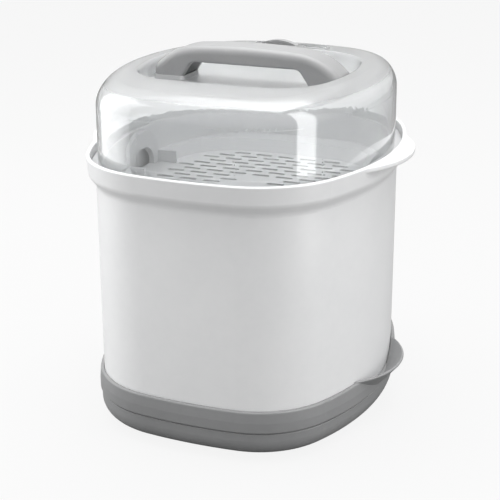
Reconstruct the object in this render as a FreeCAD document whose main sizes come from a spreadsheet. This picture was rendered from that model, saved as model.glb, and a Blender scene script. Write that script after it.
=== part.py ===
import FreeCAD, Part

import math
import os
import re

import Sketcher

# A bottle sterilizer for the nursery worktop: a grey water tray, a white case, a drain plate with
# posts for the bottles, a slotted upper tray and a clear domed lid with a carrying handle and a
# sliding vent.  X runs along the handle, the front faces -Y and +Z is up.  The origin is the middle
# of the footprint, on the surface that the feet stand on.  Millimetres throughout.

PLANS = {
    # A plan is a rounded square of eight tangent arcs: half width, half depth, corner arc,
    # arc of the two sides (+X and -X), arc of the front and the back.
    "body": ("body_half_width", "body_half_depth", "body_corner", "body_side_arc", "body_front_arc"),
    "bowl": ("bowl_half_width", "bowl_half_depth", "bowl_corner", "bowl_side_arc", "bowl_front_arc"),
    "dish": ("dish_half_width", "dish_half_depth", "dish_corner", "dish_side_arc", "dish_front_arc"),
}

SIZES = {
    # rounded square of the case
    "body_half_width": 100.0,
    "body_half_depth": 114.8,
    "body_corner": 60.7,
    "body_side_arc": 185.3,
    "body_front_arc": 312.8,
    # feet
    "foot_height": 3.0,
    "foot_radius": 9.0,
    "foot_stub_radius": 4.0,
    "foot_stub_height": 1.6,
    "foot_inset": 42.0,
    # base tray
    "tray_floor": 3.4,
    "tray_seat_height": 11.0,
    "tray_step_height": 18.4,
    "tray_height": 34.2,
    "tray_lower_swell": 2.2,
    "tray_upper_swell": 3.3,
    "tray_lip_swell": 2.6,
    "tray_underside_round": 12.5,
    "tray_seat_width": 9.0,
    "case_gap": 0.4,
    "base_ear_reach": 16.2,
    "base_ear_depth": 13.0,
    "base_ear_flare": 11.0,
    "base_ear_floor": 2.2,
    "base_ear_arc": 60.5,
    "base_ear_rise": 1.0,
    "base_ear_lip": 2.4,
    "base_ear_edge_round": 0.9,
    "ear_overlap": 5.0,
    "tray_step_round": 1.2,
    "tray_lip_round": 1.3,
    "tray_groove_width": 0.8,
    "tray_groove_swell": 1.4,
    "tray_groove_round": 0.7,
    # case
    "shell_wall": 2.5,
    "case_height": 179.5,
    "case_flange": 6.5,
    "case_flange_thick": 3.0,
    "case_ear_reach": 17.2,
    "case_ear_root_round": 7.0,
    "case_ear_round": 1.6,
    "case_shoulder_low": 20.1,
    "case_shoulder_high": 13.5,
    "rim_swell_low": 5.0,
    "rim_swell_high": 6.4,
    "rim_wall": 3.0,
    "rim_depth": 8.6,
    "case_ear_arc": 75.0,
    "case_ear_thick": 4.2,
    "shoulder_bend_round": 5.0,
    "shoulder_root_round": 6.0,
    "rim_outer_round": 1.1,
    "rim_inner_round": 0.9,
    # drain plate and the posts that the bottles stand on
    "plate_gap": 0.8,
    "plate_thick": 2.5,
    "plate_rim_height": 7.0,
    "plate_slot_length": 22.0,
    "plate_slot_width": 3.0,
    "plate_slot_pitch_long": 28.0,
    "plate_slot_pitch_cross": 10.0,
    "post_base_radius": 10.0,
    "post_base_height": 4.0,
    "post_foot_radius": 6.5,
    "post_tip_radius": 4.5,
    "post_height": 58.0,
    "post_stub_radius": 4.0,
    "post_pitch_long": 62.0,
    "post_pitch_cross": 52.0,
    "post_middle_spread": 8.0,
    # upper tray
    "upper_wall": 2.2,
    "upper_gap": 0.4,
    "bowl_half_width": 87.0,
    "bowl_half_depth": 86.0,
    "bowl_corner": 50.0,
    "bowl_side_arc": 170.0,
    "bowl_front_arc": 250.0,
    "collar_low_inset": 10.5,
    "locating_bead_height": 1.8,
    "locating_bead_gap": 0.4,
    "locating_bead_width": 1.2,
    "upper_floor_drop": 24.1,
    "upper_ledge_drop": 15.0,
    "upper_low_wall_run": 6.0,
    "upper_high_wall_run": 4.8,
    "slot_length": 13.6,
    "slot_width": 4.2,
    "slot_pitch_long": 18.4,
    "slot_pitch_cross": 8.8,
    "slot_margin": 3.0,
    "overcut": 1.0,
    "blank_radius": 10.0,
    "hoop_half": 27.0,
    "hoop_thick": 3.8,
    "hoop_rise": 1.8,
    "hoop_round": 22.5,
    "hoop_band": 9.0,
    "hoop_top_band": 12.5,
    # lid
    "lid_wall": 2.2,
    "lid_inset": 1.95,
    "lid_skirt_swell": 0.3,
    "lid_height": 60.6,
    "lid_crown_radius": 1506.0,
    "lid_shoulder": 17.6,
    "dish_half_width": 73.5,
    "dish_half_depth": 70.0,
    "dish_corner": 42.0,
    "dish_side_arc": 150.0,
    "dish_front_arc": 250.0,
    "dish_depth": 14.2,
    "dish_wall_run": 1.8,
    "dish_floor_round": 1.5,
    "dish_edge_round": 1.5,
    "foot_to_dish": 2.2,
    "foot_length": 22.5,
    # handle
    "pad_thick": 3.0,
    "handle_width": 28.0,
    "foot_toe": 6.0,
    "grip_half": 54.7,
    "grip_under": 10.5,
    "grip_shoulder": 20.0,
    "grip_crown": 2.9,
    "grip_opening_half": 40.0,
    "shoulder_round": 46.0,
    "toe_round": 5.0,
    "armpit_round": 6.0,
    "handle_edge_round": 5.5,
    "handle_under_round": 1.6,
    "liner_width": 19.0,
    "liner_thick": 2.6,
    "screw_radius": 1.9,
    "screw_length": 15.0,
    "screw_head_radius": 3.8,
    "screw_head_height": 2.4,
    "pad_margin": 1.0,
    "pad_end_margin": 0.2,
    "pad_corner_round": 4.5,
    # vent
    "vent_boss_half": 30.0,
    "vent_boss_width": 13.6,
    "vent_boss_rise": 0.9,
    "vent_boss_wall": 1.8,
    "vent_boss_round": 0.7,
    "vent_recess_depth": 1.7,
    "vent_travel": 16.0,
    "vent_to_dish": 0.6,
    "vent_gap": 0.25,
    "vent_plate_thick": 1.3,
    "vent_stem_radius": 2.4,
    "vent_slot_width": 4.0,
    "vent_slot_length": 7.5,
    "vent_slot_pitch": 6.8,
    "vent_tab_half": 14.3,
    "vent_tab_thick": 5.5,
    "vent_tab_height": 3.4,
    "vent_tab_shift": 1.5,
    "vent_retainer_radius": 4.6,
    "vent_retainer_thick": 2.0,
    "vent_under_gap": 0.5,
    "vent_screw_radius": 1.2,
}

# Levels and places that follow from the sizes above, each one a formula over them.
TRAY_BOTTOM = "foot_height"
TRAY_TOP = "foot_height + tray_height"
EAR_TOP = f"{TRAY_TOP} + base_ear_rise"
EAR_TIP = "body_half_width + base_ear_reach"
EAR_ROOT = "body_half_width - ear_overlap"
CASE_BOTTOM = "foot_height + tray_seat_height"
CASE_TOP = f"{CASE_BOTTOM} + case_height"
RIM_SEAT = f"{CASE_TOP} - rim_depth"
PLATE_BOTTOM = f"{CASE_BOTTOM} + case_flange_thick"
PLATE_TOP = f"{PLATE_BOTTOM} + plate_thick"
FLANGE_TOP = f"{RIM_SEAT} + upper_wall"
FLOOR_TOP = f"{RIM_SEAT} - upper_floor_drop"
FLOOR_BOTTOM = f"{FLOOR_TOP} - upper_wall"
LEDGE_TOP = f"{RIM_SEAT} - upper_ledge_drop"
LEDGE_BOTTOM = f"{LEDGE_TOP} - upper_wall"
RIM_INSIDE = "0 - rim_swell_high + rim_wall"
LID_TOP = f"{FLANGE_TOP} + lid_height"
REACH = "body_half_width + body_half_depth / 2"
DISH_FLOOR = f"{LID_TOP} - dish_depth"
HANDLE_BOTTOM = f"{DISH_FLOOR} + pad_thick"
HOOP_INSIDE = "bowl_half_width"
HOOP_OUTSIDE = f"{HOOP_INSIDE} + hoop_thick"
CASE_EAR_TIP = "body_half_width + case_ear_reach"
FOOT_END = "dish_half_width - dish_wall_run - foot_to_dish"
FOOT_INNER = f"{FOOT_END} - foot_length"
SCREW_PLACE = f"{FOOT_END} - foot_length / 2"
VENT_PLACE = "dish_half_depth + dish_edge_round + vent_to_dish + vent_boss_width / 2"
VENT_CROWN = f"{LID_TOP} - ({VENT_PLACE}) ^ 2 / (2 * lid_crown_radius)"
VENT_BOSS_TOP = f"{VENT_CROWN} + vent_boss_rise"
VENT_FLOOR = f"{VENT_BOSS_TOP} - vent_recess_depth"
VENT_RECESS_HALF = "vent_boss_half - vent_boss_wall"
VENT_RECESS_WIDTH = "vent_boss_width - 2 * vent_boss_wall"
VENT_PLATE_HALF = f"{VENT_RECESS_HALF} - vent_travel / 2 - vent_gap"
VENT_REST = "vent_travel / 2"
VENT_ROOF_UNDER = f"{VENT_CROWN} - lid_wall - vent_boss_width ^ 2 / (8 * lid_crown_radius)"
VENT_SLOPE = f"({VENT_PLACE}) / lid_crown_radius"
VENT_RETAINER_TOP = f"{VENT_ROOF_UNDER} - vent_under_gap - vent_retainer_radius * {VENT_SLOPE}"

doc = FreeCAD.newDocument("BottleSterilizer")
sheet = doc.addObject("Spreadsheet::Sheet", "Sizes")
for row, (size_name, size_value) in enumerate(SIZES.items(), start=1):
    sheet.set(f"A{row}", size_name)
    sheet.set(f"B{row}", str(size_value))
    sheet.setAlias(f"B{row}", size_name)
doc.recompute()


def formula(text):
    """The same formula with every size name turned into a reference to its cell."""
    return re.sub(r"[a-z]\w+", lambda word: "Sizes." + word.group(), text)


def amount(text):
    """The number that a formula over the sizes comes to."""
    return float(sheet.evalExpression(formula(text)))


def bind(thing, **formulas):
    for name, text in formulas.items():
        thing.setExpression(name, formula(text))


# ---- sketches ------------------------------------------------------------------------------------

def sketch_on(part, name, level="0", role="XY_Plane"):
    """An empty sketch on one of the body's own planes, raised along that plane's normal."""
    plane = next(feature for feature in part.Origin.OriginFeatures if feature.Role == role)
    sketch = part.newObject("Sketcher::SketchObject", name)
    sketch.AttachmentSupport = (plane, "")
    sketch.MapMode = "FlatFace"
    sketch.setExpression("AttachmentOffset.Base.z", formula(level))
    return sketch


def hold(sketch, kind, *where, text):
    """Add a dimension whose value is a formula over the sizes."""
    index = sketch.addConstraint(Sketcher.Constraint(kind, *where, amount(text)))
    sketch.setExpression(f"Constraints[{index}]", formula(text))


def point(x, y):
    return FreeCAD.Vector(x, y, 0)


def arc(centre, radius, start, end):
    circle = Part.Circle(point(*centre), FreeCAD.Vector(0, 0, 1), radius)
    return Part.ArcOfCircle(circle, start, end)


def corner_centre(half_width, half_depth, corner, side_arc, front_arc):
    """Centre of the corner arc that touches both the side arc and the front arc from inside."""
    side_x = half_width - side_arc
    front_y = half_depth - front_arc
    to_side = side_arc - corner
    to_front = front_arc - corner
    apart = math.hypot(side_x, front_y)
    along = (to_side ** 2 - to_front ** 2 + apart ** 2) / (2 * apart)
    across = math.sqrt(to_side ** 2 - along ** 2)
    unit_x = -side_x / apart
    unit_y = front_y / apart
    return side_x + along * unit_x - across * unit_y, along * unit_y + across * unit_x


def plan_sizes(plan, inset):
    return [amount(f"{name} - ({inset})") for name in PLANS[plan]]


def draw_plan(sketch, plan, inset="0"):
    """A rounded square of eight tangent arcs, the given distance inside the plan."""
    half_width, half_depth, corner, side_arc, front_arc = plan_sizes(plan, inset)
    centre_x, centre_y = corner_centre(half_width, half_depth, corner, side_arc, front_arc)
    side_x = half_width - side_arc
    front_y = half_depth - front_arc
    low = math.atan2(centre_y, centre_x - side_x)
    high = math.atan2(centre_y - front_y, centre_x)
    turn = math.pi
    arcs = [
        arc((side_x, 0), side_arc, -low, low),
        arc((centre_x, centre_y), corner, low, high),
        arc((0, front_y), front_arc, high, turn - high),
        arc((-centre_x, centre_y), corner, turn - high, turn - low),
        arc((-side_x, 0), side_arc, turn - low, turn + low),
        arc((-centre_x, -centre_y), corner, turn + low, turn + high),
        arc((0, -front_y), front_arc, turn + high, 2 * turn - high),
        arc((centre_x, -centre_y), corner, 2 * turn - high, 2 * turn - low),
    ]
    sketch.addGeometry(arcs, False)
    for index in range(8):
        sketch.addConstraint(Sketcher.Constraint("Tangent", index, 2, (index + 1) % 8, 1))
    for index, axis in ((0, -1), (4, -1), (2, -2), (6, -2)):
        sketch.addConstraint(Sketcher.Constraint("PointOnObject", index, 3, axis))
    width, depth, corner_name, side, front = PLANS[plan]
    for index in (1, 3, 5, 7):
        hold(sketch, "Radius", index, text=f"{corner_name} - ({inset})")
    for index in (0, 4):
        hold(sketch, "Radius", index, text=f"{side} - ({inset})")
    for index in (2, 6):
        hold(sketch, "Radius", index, text=f"{front} - ({inset})")
    hold(sketch, "DistanceX", 0, 3, -1, 1, text=f"{side} - {width}")
    hold(sketch, "DistanceX", -1, 1, 4, 3, text=f"{side} - {width}")
    hold(sketch, "DistanceY", 2, 3, -1, 1, text=f"{front} - {depth}")
    hold(sketch, "DistanceY", -1, 1, 6, 3, text=f"{front} - {depth}")


def draw_polygon(sketch, corners):
    """A closed run of straight lines between corners given as pairs of formulas."""
    places = [point(amount(x), amount(y)) for x, y in corners]
    count = len(places)
    for index in range(count):
        sketch.addGeometry(Part.LineSegment(places[index], places[(index + 1) % count]), False)
    for index, (x, y) in enumerate(corners):
        sketch.addConstraint(Sketcher.Constraint("Coincident", index, 2, (index + 1) % count, 1))
        hold(sketch, "DistanceX", -1, 1, index, 1, text=x)
        hold(sketch, "DistanceY", -1, 1, index, 1, text=y)


def draw_rectangle(sketch, left, right, low, high):
    draw_polygon(sketch, [(left, low), (right, low), (right, high), (left, high)])


def draw_circle(sketch, x, y, radius):
    centre = point(amount(x), amount(y))
    sketch.addGeometry(Part.Circle(centre, FreeCAD.Vector(0, 0, 1), amount(radius)), False)
    hold(sketch, "DistanceX", -1, 1, 0, 3, text=x)
    hold(sketch, "DistanceY", -1, 1, 0, 3, text=y)
    hold(sketch, "Radius", 0, text=radius)


def draw_lobe(sketch, tip, radius, root):
    """An arc whose tip is on the X axis, closed by a straight line at the root."""
    centre = amount(f"{tip} - ({radius})")
    reach = amount(radius)
    open_angle = math.acos((amount(root) - centre) / reach)
    sketch.addGeometry(arc((centre, 0), reach, -open_angle, open_angle), False)
    start = point(centre + reach * math.cos(open_angle), -reach * math.sin(open_angle))
    sketch.addGeometry(Part.LineSegment(point(start.x, -start.y), start), False)
    sketch.addConstraint(Sketcher.Constraint("Coincident", 0, 2, 1, 1))
    sketch.addConstraint(Sketcher.Constraint("Coincident", 1, 2, 0, 1))
    sketch.addConstraint(Sketcher.Constraint("PointOnObject", 0, 3, -1))
    sketch.addConstraint(Sketcher.Constraint("Vertical", 1))
    hold(sketch, "DistanceX", -1, 1, 0, 3, text=f"{tip} - ({radius})")
    hold(sketch, "Radius", 0, text=radius)
    hold(sketch, "DistanceX", -1, 1, 0, 1, text=root)


def draw_stadium(sketch, middle_x, middle_y, half, width):
    """A slot outline along X: two straight sides closed by half circles."""
    x = amount(middle_x)
    y = amount(middle_y)
    end = amount(f"{half} - ({width}) / 2")
    radius = amount(width) / 2
    quarter = math.pi / 2
    sketch.addGeometry(arc((x + end, y), radius, -quarter, quarter), False)
    sketch.addGeometry(Part.LineSegment(point(x + end, y + radius), point(x - end, y + radius)), False)
    sketch.addGeometry(arc((x - end, y), radius, quarter, 3 * quarter), False)
    sketch.addGeometry(Part.LineSegment(point(x - end, y - radius), point(x + end, y - radius)), False)
    for index in range(4):
        sketch.addConstraint(Sketcher.Constraint("Tangent", index, 2, (index + 1) % 4, 1))
    sketch.addConstraint(Sketcher.Constraint("Horizontal", 1))
    hold(sketch, "Radius", 0, text=f"({width}) / 2")
    hold(sketch, "DistanceX", -1, 1, 0, 3, text=f"{middle_x} + {half} - ({width}) / 2")
    hold(sketch, "DistanceX", -1, 1, 2, 3, text=f"{middle_x} - ({half}) + ({width}) / 2")
    hold(sketch, "DistanceY", -1, 1, 0, 3, text=middle_y)


# ---- features ------------------------------------------------------------------------------------

def new_body(name):
    part = doc.addObject("PartDesign::Body", name)
    part.Label = name
    return part


def grow(part, kind, name, sketch, length, both_ways=False, backwards=False):
    """A Pad or a Pocket of one sketch; it must change the volume in its own direction."""
    doc.recompute()
    before = part.Shape.Volume if part.Tip else 0.0
    feature = part.newObject(f"PartDesign::{kind}", name)
    feature.Profile = sketch
    feature.setExpression("Length", formula(length))
    feature.Midplane = both_ways
    feature.Reversed = backwards
    doc.recompute()
    gained = part.Shape.Volume - before
    if (gained > 0) != (kind == "Pad") or abs(gained) < 1e-6:
        raise RuntimeError(f"{name} changed nothing")
    return feature


def plan_pad(part, name, plan, inset, low, high):
    sketch = sketch_on(part, name + "_outline", low)
    draw_plan(sketch, plan, inset)
    return grow(part, "Pad", name, sketch, f"({high}) - ({low})")


def plan_pocket(part, name, plan, inset, low, high):
    sketch = sketch_on(part, name + "_outline", high)
    draw_plan(sketch, plan, inset)
    return grow(part, "Pocket", name, sketch, f"({high}) - ({low})")


def plan_loft(part, name, plan, levels, cut=False):
    """A straight loft through plan outlines, each given by its inset and its level."""
    outlines = []
    for count, (inset, level) in enumerate(levels):
        sketch = sketch_on(part, f"{name}_outline_{count}", level)
        draw_plan(sketch, plan, inset)
        outlines.append(sketch)
    feature = part.newObject("PartDesign::SubtractiveLoft" if cut else "PartDesign::AdditiveLoft", name)
    feature.Profile = outlines[0]
    feature.Sections = outlines[1:]
    feature.Ruled = True
    doc.recompute()
    return feature


def lobe_loft(part, name, levels, cut=False):
    """A straight loft through lobes, each given by tip, radius, level and how far it is drawn in."""
    outlines = []
    for count, (tip, radius, level, drawn_in) in enumerate(levels):
        sketch = sketch_on(part, f"{name}_outline_{count}", level)
        draw_lobe(sketch, f"{tip} - ({drawn_in})", f"{radius} - ({drawn_in})", EAR_ROOT)
        outlines.append(sketch)
    feature = part.newObject("PartDesign::SubtractiveLoft" if cut else "PartDesign::AdditiveLoft", name)
    feature.Profile = outlines[0]
    feature.Sections = outlines[1:]
    feature.Ruled = True
    doc.recompute()
    return feature


def mirrored(part, feature, role="YZ_Plane"):
    """The same feature again on the other side of one of the body's own planes."""
    plane = next(item for item in part.Origin.OriginFeatures if item.Role == role)
    copy = part.newObject("PartDesign::Mirrored", feature.Name + "_other_side")
    copy.Originals = [feature]
    copy.MirrorPlane = (plane, [""])
    part.Tip = copy
    doc.recompute()
    return copy


def round_edges(part, name, radius, wanted):
    """Fillet every edge that the test accepts."""
    doc.recompute()
    base = part.Tip
    names = [f"Edge{index}" for index, edge in enumerate(base.Shape.Edges, start=1) if wanted(edge)]
    if not names:
        raise RuntimeError(f"{name} found no edge")
    feature = part.newObject("PartDesign::Fillet", name)
    feature.Base = (base, names)
    feature.setExpression("Radius", formula(radius))
    doc.recompute()
    return feature


def middle(edge):
    return edge.valueAt((edge.FirstParameter + edge.LastParameter) / 2)


def inset_of(place, plan):
    """How far inside a plan's outline a point lies."""
    half_width, half_depth, corner, side_arc, front_arc = plan_sizes(plan, "0")
    centre_x, centre_y = corner_centre(half_width, half_depth, corner, side_arc, front_arc)
    side_x = half_width - side_arc
    front_y = half_depth - front_arc
    x = abs(place.x)
    y = abs(place.y)
    if math.atan2(y, x - side_x) < math.atan2(centre_y, centre_x - side_x):
        return side_arc - math.hypot(x - side_x, y)
    if math.atan2(y - front_y, x) > math.atan2(centre_y - front_y, centre_x):
        return front_arc - math.hypot(x, y - front_y)
    return corner - math.hypot(x - centre_x, y - centre_y)


def ring_edges(plan, inset, level):
    """A test for the edges that follow a plan outline at one level."""
    height = amount(level)
    depth_in = amount(inset)

    def wanted(edge):
        box = edge.BoundBox
        flat = abs(box.ZMin - height) < 0.02 and abs(box.ZMax - height) < 0.02
        return flat and abs(inset_of(middle(edge), plan) - depth_in) < 0.05

    return wanted


def upright_at(corners):
    """A test for vertical edges that stand near one of the given points."""
    def wanted(edge):
        box = edge.BoundBox
        if box.XLength > 0.01 or box.YLength > 0.01:
            return False
        return any(math.hypot(box.XMin - x, box.YMin - y) < 0.5 for x, y in corners)

    return wanted


def cylinder(name, radius, height, x, y, z):
    """A Part cylinder along Z, standing on its base point."""
    piece = doc.addObject("Part::Cylinder", name)
    bind(piece, Radius=radius, Height=height)
    for axis, text in (("x", x), ("y", y), ("z", z)):
        piece.setExpression(f"Placement.Base.{axis}", formula(text))
    return piece


def combine(kind, label, base, tool):
    piece = doc.addObject(f"Part::{kind}", label + "_made")
    if kind == "Cut":
        piece.Base = base
        piece.Tool = tool
    else:
        piece.Shapes = [base, *tool]
    piece.Label = label
    doc.recompute()
    return piece


def slot_field(name, plan, keep_inside, spacing, length, width, low, high, stagger, blank="0"):
    """A field of round-ended slots along X, only where each whole slot lies inside the plan."""
    pitch_long, pitch_cross = (amount(text) for text in spacing)
    half = amount(length) / 2
    radius = amount(width) / 2
    bottom = amount(low)
    limit = amount(keep_inside)
    clear = amount(blank)
    rows = int(amount("body_half_depth") / pitch_cross)
    columns = int(amount("body_half_width") / pitch_long) + 1
    slots = []
    for row in range(-rows, rows + 1):
        shift = pitch_long / 2 if stagger and row % 2 else 0.0
        for column in range(-columns, columns + 1):
            x = column * pitch_long + shift
            y = row * pitch_cross
            tips = [point(x - half, y), point(x + half, y)]
            if min(inset_of(tip, plan) for tip in tips) < limit + radius:
                continue
            if abs(y) < clear and abs(x) < clear + half:
                continue
            bar = Part.makeBox(2 * (half - radius), 2 * radius, 1, point(x - half + radius, y - radius))
            ends = [Part.makeCylinder(radius, 1, point(x + side * (half - radius), y)) for side in (-1, 1)]
            outline = bar.fuse(ends).removeSplitter()
            face = next(face for face in outline.Faces if face.CenterOfMass.z < 1e-6)
            face.translate(FreeCAD.Vector(0, 0, bottom))
            slots.append(face.extrude(FreeCAD.Vector(0, 0, amount(high) - bottom)))
    field = doc.addObject("Part::Feature", name)
    field.Shape = Part.makeCompound(slots)
    return field


# ---- base ----------------------------------------------------------------------------------------

FOOT_PLACES = {
    "front_left": ("0 - body_half_width + foot_inset", "0 - body_half_depth + foot_inset"),
    "front_right": ("body_half_width - foot_inset", "0 - body_half_depth + foot_inset"),
    "rear_left": ("0 - body_half_width + foot_inset", "body_half_depth - foot_inset"),
    "rear_right": ("body_half_width - foot_inset", "body_half_depth - foot_inset"),
}


def base_tray():
    """The grey water tray: a swelling rim over a rounded lower band, with a lift scoop each side."""
    part = new_body("base_tray")
    step = f"{TRAY_BOTTOM} + tray_step_height"
    groove_low = f"{step} - tray_groove_width / 2"
    groove_high = f"{step} + tray_groove_width / 2"
    bulge = f"({TRAY_TOP} + {step}) / 2"
    plan_pad(part, "tray_lower_band", "body", "0 - tray_lower_swell", TRAY_BOTTOM, groove_low)
    round_edges(part, "tray_underside", "tray_underside_round",
                ring_edges("body", "0 - tray_lower_swell", TRAY_BOTTOM))
    round_edges(part, "tray_groove_edge", "tray_groove_round",
                ring_edges("body", "0 - tray_lower_swell", groove_low))
    plan_pad(part, "tray_groove", "body", "0 - tray_groove_swell", groove_low, groove_high)
    plan_pad(part, "tray_upper_band", "body", "0 - tray_upper_swell", groove_high, bulge)
    plan_loft(part, "tray_rim", "body", [("0 - tray_upper_swell", bulge), ("0 - tray_lip_swell", TRAY_TOP)])
    round_edges(part, "tray_step", "tray_step_round",
                ring_edges("body", "0 - tray_upper_swell", groove_high))
    plan_pocket(part, "tray_mouth", "body", "0 - case_gap", CASE_BOTTOM, TRAY_TOP)
    plan_pocket(part, "tray_well", "body", "tray_seat_width", f"{TRAY_BOTTOM} + tray_floor", CASE_BOTTOM)
    round_edges(part, "tray_lip", "tray_lip_round", ring_edges("body", "0 - tray_lip_swell", TRAY_TOP))
    ear_low = f"{EAR_TOP} - base_ear_depth"
    ear = lobe_loft(part, "base_ear", [(EAR_TIP, "base_ear_arc", ear_low, "base_ear_flare"),
                                       (EAR_TIP, "base_ear_arc", EAR_TOP, "0")])
    mirrored(part, ear)
    inside = f"{ear_low} + base_ear_floor"
    scoop = lobe_loft(part, "base_ear_inside",
                      [(EAR_TIP, "base_ear_arc", inside, "base_ear_flare + base_ear_lip"),
                       (EAR_TIP, "base_ear_arc", EAR_TOP, "base_ear_lip")], cut=True)
    mirrored(part, scoop)
    plan_pocket(part, "ear_root_clearance", "body", "0 - case_gap", CASE_BOTTOM, EAR_TOP)
    top = amount(EAR_TOP)
    centre = amount(f"{EAR_TIP} - base_ear_arc")
    reach = amount("base_ear_arc")

    def ear_rim(edge):
        if edge.BoundBox.ZLength > 0.02 or abs(edge.BoundBox.ZMin - top) > 0.02:
            return False
        place = middle(edge)
        return abs(math.hypot(abs(place.x) - centre, place.y) - reach) < 0.05

    round_edges(part, "ear_edges", "base_ear_edge_round", ear_rim)
    return part


def foot_sockets(part):
    for name, (x, y) in FOOT_PLACES.items():
        sketch = sketch_on(part, f"foot_socket_{name}_outline", TRAY_BOTTOM)
        draw_circle(sketch, x, y, "foot_stub_radius")
        grow(part, "Pocket", f"foot_socket_{name}", sketch, "foot_stub_height", backwards=True)


def foot(name):
    """A soft foot: a disc with a stub pressed into its socket in the tray."""
    x, y = FOOT_PLACES[name]
    disc = cylinder(f"foot_disc_{name}", "foot_radius", "foot_height", x, y, "0")
    stub = cylinder(f"foot_stub_{name}", "foot_stub_radius", "foot_stub_height", x, y, "foot_height")
    return combine("MultiFuse", f"foot_{name}", disc, [stub])


# ---- case ----------------------------------------------------------------------------------------

def case_shell():
    """The white case: an open tube with a foot flange, a flared rim and a lift tab each side."""
    part = new_body("case_shell")
    shoulder_low = f"{CASE_TOP} - case_shoulder_low"
    shoulder_high = f"{CASE_TOP} - case_shoulder_high"
    low_swell = "0 - rim_swell_low"
    high_swell = "0 - rim_swell_high"
    plan_pad(part, "case_wall", "body", "0", CASE_BOTTOM, shoulder_low)
    plan_loft(part, "case_shoulder", "body", [("0", shoulder_low), (low_swell, shoulder_high)])
    plan_loft(part, "case_rim", "body", [(low_swell, shoulder_high), (high_swell, CASE_TOP)])
    round_edges(part, "shoulder_bend", "shoulder_bend_round", ring_edges("body", low_swell, shoulder_high))
    round_edges(part, "shoulder_root", "shoulder_root_round", ring_edges("body", "0", shoulder_low))
    ear_low = f"{CASE_TOP} - case_ear_thick"
    sketch = sketch_on(part, "case_ear_outline", ear_low)
    draw_lobe(sketch, CASE_EAR_TIP, "case_ear_arc", "body_half_width")
    ear = grow(part, "Pad", "case_ear", sketch, "case_ear_thick")
    mirrored(part, ear)
    low = amount(ear_low)
    high = amount(CASE_TOP)
    centre = amount(f"{CASE_EAR_TIP} - case_ear_arc")
    reach = amount("case_ear_arc")

    def on_ear(edge):
        place = middle(edge)
        return abs(math.hypot(abs(place.x) - centre, place.y) - reach) < 0.05

    def ear_root(edge):
        return edge.BoundBox.ZLength > amount("case_ear_thick") / 2 and on_ear(edge)

    def top_edge(edge):
        box = edge.BoundBox
        return abs(box.ZMin - high) < 0.02 and abs(box.ZMax - high) < 0.02

    def ear_under(edge):
        box = edge.BoundBox
        return box.ZLength < 0.02 and abs(box.ZMin - low) < 0.02 and on_ear(edge)

    round_edges(part, "ear_under_round", "case_ear_round", ear_under)
    round_edges(part, "ear_roots", "case_ear_root_round", ear_root)
    round_edges(part, "rim_outer_edge", "rim_outer_round", top_edge)
    plan_pocket(part, "case_inside", "body", "shell_wall", PLATE_BOTTOM, CASE_TOP)
    plan_pocket(part, "case_foot_opening", "body", "shell_wall + case_flange", CASE_BOTTOM, PLATE_BOTTOM)
    plan_pocket(part, "rim_rebate", "body", RIM_INSIDE, RIM_SEAT, CASE_TOP)
    round_edges(part, "rim_inner_edge", "rim_inner_round", ring_edges("body", RIM_INSIDE, CASE_TOP))
    return part


# ---- bottle rack ---------------------------------------------------------------------------------

POST_PLACES = {
    "front_left": ("0 - post_pitch_cross / 2", "0 - post_pitch_long"),
    "front_right": ("post_pitch_cross / 2", "0 - post_pitch_long"),
    "middle_left": ("0 - post_pitch_cross / 2 - post_middle_spread", "0"),
    "middle_right": ("post_pitch_cross / 2 + post_middle_spread", "0"),
    "rear_left": ("0 - post_pitch_cross / 2", "post_pitch_long"),
    "rear_right": ("post_pitch_cross / 2", "post_pitch_long"),
}


def drain_plate():
    """The slotted plate that rests on the case's foot flange and holds the posts."""
    part = new_body("drain_plate_blank")
    edge = "shell_wall + plate_gap"
    plan_pad(part, "plate_block", "body", edge, PLATE_BOTTOM, f"{PLATE_BOTTOM} + plate_rim_height")
    plan_pocket(part, "plate_dish", "body", f"{edge} + plate_thick", PLATE_TOP,
                f"{PLATE_BOTTOM} + plate_rim_height")
    for name, (x, y) in POST_PLACES.items():
        sketch = sketch_on(part, f"post_socket_{name}_outline", PLATE_TOP)
        draw_circle(sketch, x, y, "post_stub_radius")
        grow(part, "Pocket", f"post_socket_{name}", sketch, "plate_thick")
    slots = slot_field("plate_slots", "body", "shell_wall + plate_gap + plate_thick + case_flange",
                       ("plate_slot_pitch_long", "plate_slot_pitch_cross"), "plate_slot_length",
                       "plate_slot_width", f"{PLATE_BOTTOM} - overcut", f"{PLATE_TOP} + overcut",
                       stagger=False)
    keep = []
    for slot in slots.Shape.Solids:
        middle_point = slot.CenterOfMass
        room = amount("post_base_radius") + 1
        far = [math.hypot(max(abs(middle_point.x - amount(x)) - amount("plate_slot_length") / 2, 0),
                          middle_point.y - amount(y)) > room for x, y in POST_PLACES.values()]
        if all(far):
            keep.append(slot)
    slots.Shape = Part.makeCompound(keep)
    return combine("Cut", "drain_plate", part, slots)


def bottle_post(name):
    """A tapered post with a broad base and a stub in the drain plate."""
    x, y = POST_PLACES[name]
    stub = cylinder(f"post_stub_{name}", "post_stub_radius", "plate_thick", x, y, PLATE_BOTTOM)
    base = cylinder(f"post_base_{name}", "post_base_radius", "post_base_height", x, y, PLATE_TOP)
    stem = doc.addObject("Part::Cone", f"post_stem_{name}")
    bind(stem, Radius1="post_foot_radius", Radius2="post_tip_radius",
         Height="post_height - post_base_height - post_tip_radius")
    tip = doc.addObject("Part::Sphere", f"post_tip_{name}")
    bind(tip, Radius="post_tip_radius")
    for piece, level in ((stem, f"{PLATE_TOP} + post_base_height"),
                         (tip, f"{PLATE_TOP} + post_height - post_tip_radius")):
        for axis, text in (("x", x), ("y", y), ("z", level)):
            piece.setExpression(f"Placement.Base.{axis}", formula(text))
    return combine("MultiFuse", f"post_{name}", stub, [base, stem, tip])


# ---- upper tray ----------------------------------------------------------------------------------

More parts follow.
